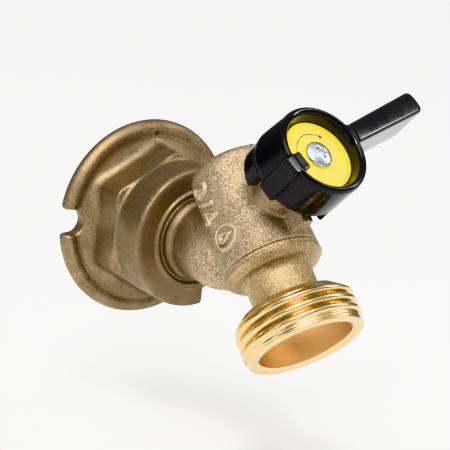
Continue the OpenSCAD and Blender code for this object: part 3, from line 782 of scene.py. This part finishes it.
def cast_skin(shader, rough_share, dark, middle, bright, edge_gain=0.28):
    """Sand-cast brass: sparkling grain, soft stains, worn edges, and painted shade darkening the creases"""
    grain = shader.noise(0.36, 3.0, 0.68)
    pits = shader.cells(0.42)
    flecks = shader.spread(grain, 0.42, 0.68)
    stains = shader.noise(4.5, 4.0, 0.6)
    cloud = shader.noise(14.0, 2.0)
    color = shader.mix(shader.spread(stains, 0.35, 0.65), middle, dark)
    sparkle = shader.math("MULTIPLY", flecks, shader.spread(rough_share, 0, 1, 0.12, 0.8))
    color = shader.mix(sparkle, color, bright)
    color = shader.mix(shader.spread(cloud, 0.4, 0.7, 0.0, 0.35), color, (0.27, 0.165, 0.095, 1))
    color = shader.mix(shader.spread(shader.edges(), 0.15, 0.9, 0.0, edge_gain), color, bright)
    # painted shade: creases and hollows are darkened towards deep brown, standing in for the shade that falls
    # there
    painted_crease_shade = shader.spread(shader.edges(), -0.15, -0.9, 0.0, 0.55)
    color = shader.mix(painted_crease_shade, color, (0.060, 0.038, 0.016, 1))
    rough = shader.math("ADD", shader.spread(grain, 0.3, 0.7, 0.36, 0.52),
                        shader.spread(stains, 0.3, 0.7, -0.03, 0.08))
    fine = shader.bump(grain, 0.22, shader.spread(rough_share, 0, 1, 0.16, 1.0))
    pitted = shader.bump(pits.outputs["Distance"], 0.10, shader.spread(rough_share, 0, 1, 0.08, 0.8), fine)
    waves = shader.bump(shader.noise(2.6, 2.0), 0.16, 0.45, pitted)
    return color, rough, waves


def cast_figures_brass():
    """The raised figures: rubbed brighter on top than the skin round them"""
    shader = Shader("cast_figures", 0.4, 1.0)
    color, rough, normal = cast_skin(shader, 0.8, CAST_DARK, CAST_MIDDLE, CAST_BRIGHT, 0.45)
    return shader.finish(color, rough, normal)


def cast_brass():
    """The body: rough on the chamber, smoother and darker towards the wall"""
    shader = Shader("cast_brass", 0.4, 1.0)
    out_of_wall = shader.along((0, -1, 0), (0, 0, 0))
    rough_share = shader.spread(out_of_wall, BARREL_FRONT_U + 5.0, BARREL_FRONT_U + 9.5)
    away = shader.spread(shader.radius(STEM, BALL), BOSS_R + 0.4, BOSS_R + 1.4)
    rough_share = shader.spread(shader.math("MULTIPLY", rough_share, away), 0, 1, 0.35, 1.0)
    color, rough, normal = cast_skin(shader, rough_share, CAST_DARK, CAST_MIDDLE, CAST_BRIGHT)
    # darker on the barrel's front face outside the ring
    past_face = shader.along((0, -1, 0), (0, -BARREL_FRONT_U, 0))
    face = shader.math("MULTIPLY", shader.spread(past_face, -0.7, -0.2), shader.spread(past_face, 1.2, 0.8))
    face = shader.math("MULTIPLY", face, shader.spread(shader.radius((0, 1, 0), (0, 0, 0)), 9.6, 10.4))
    color = shader.mix(shader.math("MULTIPLY", face, 0.45), color, (0.15, 0.10, 0.065, 1))
    # darker towards the wall, over the neck, barrel, hexagon and flange
    darker_toward_wall = shader.spread(out_of_wall, BARREL_FRONT_U + 9.5, BARREL_FRONT_U + 3.0, 0.0, 0.42)
    color = shader.mix(darker_toward_wall, color, (0.13, 0.092, 0.045, 1))
    return shader.finish(color, rough, normal)


def turned_brass():
    """Bright on the hose thread, with painted light making the mouth's inside paler still, as cast on the
    neck and bead
    """
    shader = Shader("turned_brass", 0.2, 1.0)
    height = shader.along(OUTLET, BALL)
    radius = shader.radius(OUTLET, BALL)
    turned = shader.spread(height, COLLAR_S - 0.1, COLLAR_S + 0.25)
    bore = shader.math("MULTIPLY", turned, shader.spread(radius, MOUTH_R + 0.35, MOUTH_R + 0.1))
    color, rough, normal = cast_skin(shader, 0.8, (0.20, 0.142, 0.062, 1), (0.36, 0.268, 0.138, 1),
                                     (0.84, 0.66, 0.40, 1))
    lines = shader.noise(0.35, 2.0, 0.6)
    wear = shader.noise(5.0, 3.0)
    bright = shader.mix(shader.spread(wear, 0.35, 0.7), (0.78, 0.60, 0.31, 1), (0.66, 0.48, 0.22, 1))
    # painted light: the inside of the mouth gets a paler, brighter brass than the thread, standing in for
    # light reaching into the bore
    bright = shader.mix(bore, bright, (0.95, 0.74, 0.48, 1))
    # painted shade: the thread's grooves and other creases are darkened towards brown, where shade falls
    painted_groove_shade = shader.spread(shader.edges(), -0.10, -0.8, 0.0, 0.75)
    bright = shader.mix(painted_groove_shade, bright, (0.30, 0.17, 0.05, 1))
    color = shader.mix(turned, color, bright)
    smooth = shader.math("ADD", shader.spread(wear, 0.3, 0.7, 0.14, 0.24),
                         shader.math("MULTIPLY", bore, 0.15))
    smooth = shader.math("ADD", smooth, shader.spread(lines, 0.3, 0.7, 0.0, 0.05))
    mixed_rough = shader.node("ShaderNodeMix", data_type="FLOAT")
    shader.feed(mixed_rough.inputs["Factor"], turned)
    shader.feed(mixed_rough.inputs["A"], rough)
    shader.feed(mixed_rough.inputs["B"], smooth)
    rings = shader.math("SINE", shader.math("MULTIPLY", height, 2 * math.pi / 0.23), 0.0)
    feed_lines = shader.bump(rings, 0.002, 0.4)
    feed_lines = shader.bump(lines, 0.003, 0.25, feed_lines)
    normals = shader.node("ShaderNodeMix", data_type="VECTOR")
    shader.feed(normals.inputs["Factor"], turned)
    shader.feed(normals.inputs["A"], normal)
    shader.feed(normals.inputs["B"], feed_lines)
    return shader.finish(color, mixed_rough.outputs["Result"], normals.outputs["Result"])


def plain_brass():
    """Small turned parts inside: fine turning lines and light tarnish"""
    shader = Shader("plain_brass", 0.25, 1.0)
    tarnish = shader.noise(1.6, 4.0, 0.6)
    color = shader.mix(shader.spread(tarnish, 0.35, 0.7), (0.80, 0.60, 0.27, 1), (0.55, 0.37, 0.14, 1))
    color = shader.mix(shader.spread(shader.edges(), 0.15, 0.7, 0.0, 0.6), color, (0.95, 0.78, 0.45, 1))
    rings = shader.math("SINE", shader.math("MULTIPLY", shader.along(STEM, BALL), 2 * math.pi / 0.2), 0.0)
    return shader.finish(color, shader.spread(tarnish, 0.3, 0.7, 0.2, 0.36), shader.bump(rings, 0.006, 0.5))


def black_gloss():
    """Glossy black handle: faint orange peel and finger marks"""
    shader = Shader("black_gloss", 0.12, Specular_IOR_Level=0.24)
    peel = shader.noise(0.9, 2.0)
    smudge = shader.noise(6.0, 4.0, 0.6)
    color = shader.mix(shader.spread(smudge, 0.4, 0.75), (0.006, 0.006, 0.007, 1), (0.011, 0.010, 0.010, 1))
    rough = shader.spread(smudge, 0.3, 0.75, 0.10, 0.20)
    waves = shader.bump(shader.noise(3.5, 1.0), 0.05, 0.25)
    return shader.finish(color, rough, shader.bump(peel, 0.02, 0.35, waves))


def yellow_print():
    shader = Shader("yellow_print", 0.38, Specular_IOR_Level=0.45)
    fibre = shader.noise(0.3, 3.0, 0.6)
    fade = shader.noise(5.0, 3.0)
    color = shader.mix(shader.spread(fade, 0.35, 0.7), (0.93, 0.76, 0.008, 1), (0.86, 0.66, 0.012, 1))
    return shader.finish(color, shader.spread(fibre, 0.3, 0.7, 0.32, 0.46), shader.bump(fibre, 0.008, 0.4))


def black_ink():
    shader = Shader("black_ink", 0.5)
    speck = shader.noise(0.2, 2.0)
    color = shader.mix(shader.spread(speck, 0.4, 0.7), (0.012, 0.012, 0.012, 1), (0.035, 0.033, 0.028, 1))
    return shader.finish(color, shader.spread(speck, 0.3, 0.7, 0.42, 0.6))


def bright_metal(name, light, dark, low, high):
    """Plated steel: bluish, lightly streaked, with painted shade darkening the recess"""
    shader = Shader(name, low, 1.0)
    streak = shader.noise(0.8, 4.0, 0.6, (1.0, 3.0, 3.0))
    color = shader.mix(shader.spread(streak, 0.35, 0.7), light, dark)
    # painted shade: creases such as the cross recess are darkened to grey, where shade falls
    color = shader.mix(shader.spread(shader.edges(), -0.15, -0.8, 0.0, 0.5), color, (0.22, 0.23, 0.25, 1))
    return shader.finish(color, shader.spread(streak, 0.3, 0.7, low, high), shader.bump(streak, 0.015, 0.4))


def soft_part(name, color, fleck, roughness, grain_mm):
    """Rubber and PTFE: a fine moulded grain"""
    shader = Shader(name, roughness)
    grain = shader.noise(grain_mm, 3.0)
    mixed = shader.mix(shader.spread(grain, 0.4, 0.7), color, fleck)
    rough = shader.spread(grain, 0.3, 0.7, roughness - 0.06, roughness + 0.08)
    return shader.finish(mixed, rough, shader.bump(grain, 0.02, 0.4))


def dress(obj, material):
    obj.data.materials.clear()
    obj.data.materials.append(material)


# ---------------------------------------------------------------- stage, light and camera
AIM = Vector((-0.0020, -0.0348, 0.0063))
DISTANCE = 0.36857
AZIMUTH = 38.411     # of the line of sight, from +Y towards +X
ELEVATION = 13.474   # of the camera above the aim
ROLL = 5.998
LENS = 136.0


def make_camera():
    az, el = math.radians(AZIMUTH), math.radians(ELEVATION)
    forward = Vector((math.sin(az) * math.cos(el), math.cos(az) * math.cos(el), -math.sin(el)))
    right = forward.cross(Vector((0, 0, 1))).normalized()
    up = right.cross(forward)
    turn = Matrix.Rotation(math.radians(-ROLL), 3, forward)
    right, up = turn @ right, turn @ up
    data = bpy.data.cameras.new("camera")
    data.lens = LENS
    data.sensor_width = 36
    camera = bpy.data.objects.new("camera", data)
    bpy.context.scene.collection.objects.link(camera)
    basis = Matrix((right, up, -forward)).transposed().to_4x4()
    camera.matrix_world = Matrix.Translation(AIM - forward * DISTANCE) @ basis
    bpy.context.scene.camera = camera


def make_floor():
    """A pale floor, well under the part"""
    drop = cad_box[0][2] - 0.028
    half = 3.0
    mesh = bpy.data.meshes.new("floor")
    mesh.from_pydata([(-half, -half, drop), (half, -half, drop), (half, half, drop), (-half, half, drop)],
                     [], [(0, 1, 2, 3)])
    floor = bpy.data.objects.new("floor", mesh)
    bpy.context.scene.collection.objects.link(floor)
    shader = Shader("pale_floor", 0.75)
    tone = shader.noise(60.0, 2.0)
    color = shader.mix(shader.spread(tone, 0.3, 0.7), (0.95, 0.95, 0.945, 1), (0.97, 0.97, 0.965, 1))
    dress(floor, shader.finish(color))
    return floor


def area_light(name, spot, size, power, tint=(1, 1, 1)):
    """A soft box at a place in metres, aimed at the part"""
    data = bpy.data.lights.new(name, "AREA")
    data.shape = "RECTANGLE"
    data.size, data.size_y = size
    data.energy = power
    data.color = tint
    light = bpy.data.objects.new(name, data)
    light.location = spot
    aim = Vector((0, -0.04, 0.005)) - Vector(spot)
    light.rotation_euler = aim.to_track_quat("-Z", "Y").to_euler()
    bpy.context.scene.collection.objects.link(light)


def make_light():
    bpy.context.scene.view_settings.view_transform = "Khronos PBR Neutral"
    world = bpy.data.worlds.new("studio")
    bpy.context.scene.world = world
    world.use_nodes = True
    tree = world.node_tree
    background = tree.nodes["Background"]
    background.inputs["Strength"].default_value = 1.0
    direction = tree.nodes.new("ShaderNodeTexCoord").outputs["Generated"]
    axes = tree.nodes.new("ShaderNodeSeparateXYZ")
    tree.links.new(direction, axes.inputs["Vector"])
    height = tree.nodes.new("ShaderNodeMapRange")
    height.interpolation_type = "SMOOTHSTEP"
    for socket, number in (("From Min", -0.05), ("From Max", 0.95), ("To Min", 0.10), ("To Max", 0.75)):
        height.inputs[socket].default_value = number
    tree.links.new(axes.outputs["Z"], height.inputs["Value"])
    tree.links.new(height.outputs["Result"], background.inputs["Color"])
    sun = bpy.data.lights.new("overhead", "SUN")
    sun.energy = 2.2
    sun.angle = math.radians(40)
    overhead = bpy.data.objects.new("overhead", sun)
    overhead.rotation_euler = Vector((0.42, 0.34, -0.9)).to_track_quat("-Z", "Y").to_euler()
    bpy.context.scene.collection.objects.link(overhead)
    area_light("key", (-0.30, -0.37, 0.46), (0.12, 0.12), 2.8)
    area_light("left", (-0.62, 0.05, 0.20), (0.10, 0.35), 0.4)
    area_light("right", (0.50, -0.30, 0.42), (0.06, 0.45), 2.0)


# ---------------------------------------------------------------- the pieces
make_camera()
make_light()
make_floor()

CAST, TURNED, PLAIN = cast_brass(), turned_brass(), plain_brass()
BLACK, YELLOW, INK = black_gloss(), yellow_print(), black_ink()
ZINC = bright_metal("zinc", (0.74, 0.76, 0.80, 1), (0.52, 0.55, 0.62, 1), 0.24, 0.36)
CHROME = bright_metal("chrome", (0.82, 0.83, 0.85, 1), (0.70, 0.71, 0.74, 1), 0.04, 0.10)
PTFE = soft_part("ptfe", (0.88, 0.88, 0.86, 1), (0.80, 0.80, 0.77, 1), 0.45, 0.5)
RUBBER = soft_part("rubber", (0.018, 0.018, 0.018, 1), (0.035, 0.034, 0.033, 1), 0.6, 0.3)

PIECES = [
    (make_body, CAST, "body", "cast_brass", "valve_body"),
    (make_figures, cast_figures_brass(), "body", "cast_brass", None),
    (make_spout, TURNED, "body", "machined_brass", "outlet_spout"),
    (make_nut, PLAIN, "body", "machined_brass", "packing_nut"),
    (make_handle, BLACK, "handle", "black_handle", "handle"),
    (make_label, YELLOW, "handle", "yellow_label", "handle_label"),
    (make_label_arrow, INK, "handle", "black_handle", None),
    (make_screw, ZINC, "handle", "zinc_screw", "handle_screw"),
]
for make, material, body, finish_slot, node in PIECES:
    piece = make()
    dress(piece, material)
    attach(piece, body)
    if node:
        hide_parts(node)

SLOT_MATERIALS = {"machined_brass": PLAIN, "chromed_ball": CHROME, "ptfe": PTFE, "rubber": RUBBER}
REPLACED = {row[4] for row in PIECES}
for part in frame["record"]["subparts"]:
    if part["node"] not in REPLACED:
        dress(frame["nodes"][part["node"]], SLOT_MATERIALS[part["material_slot"]])
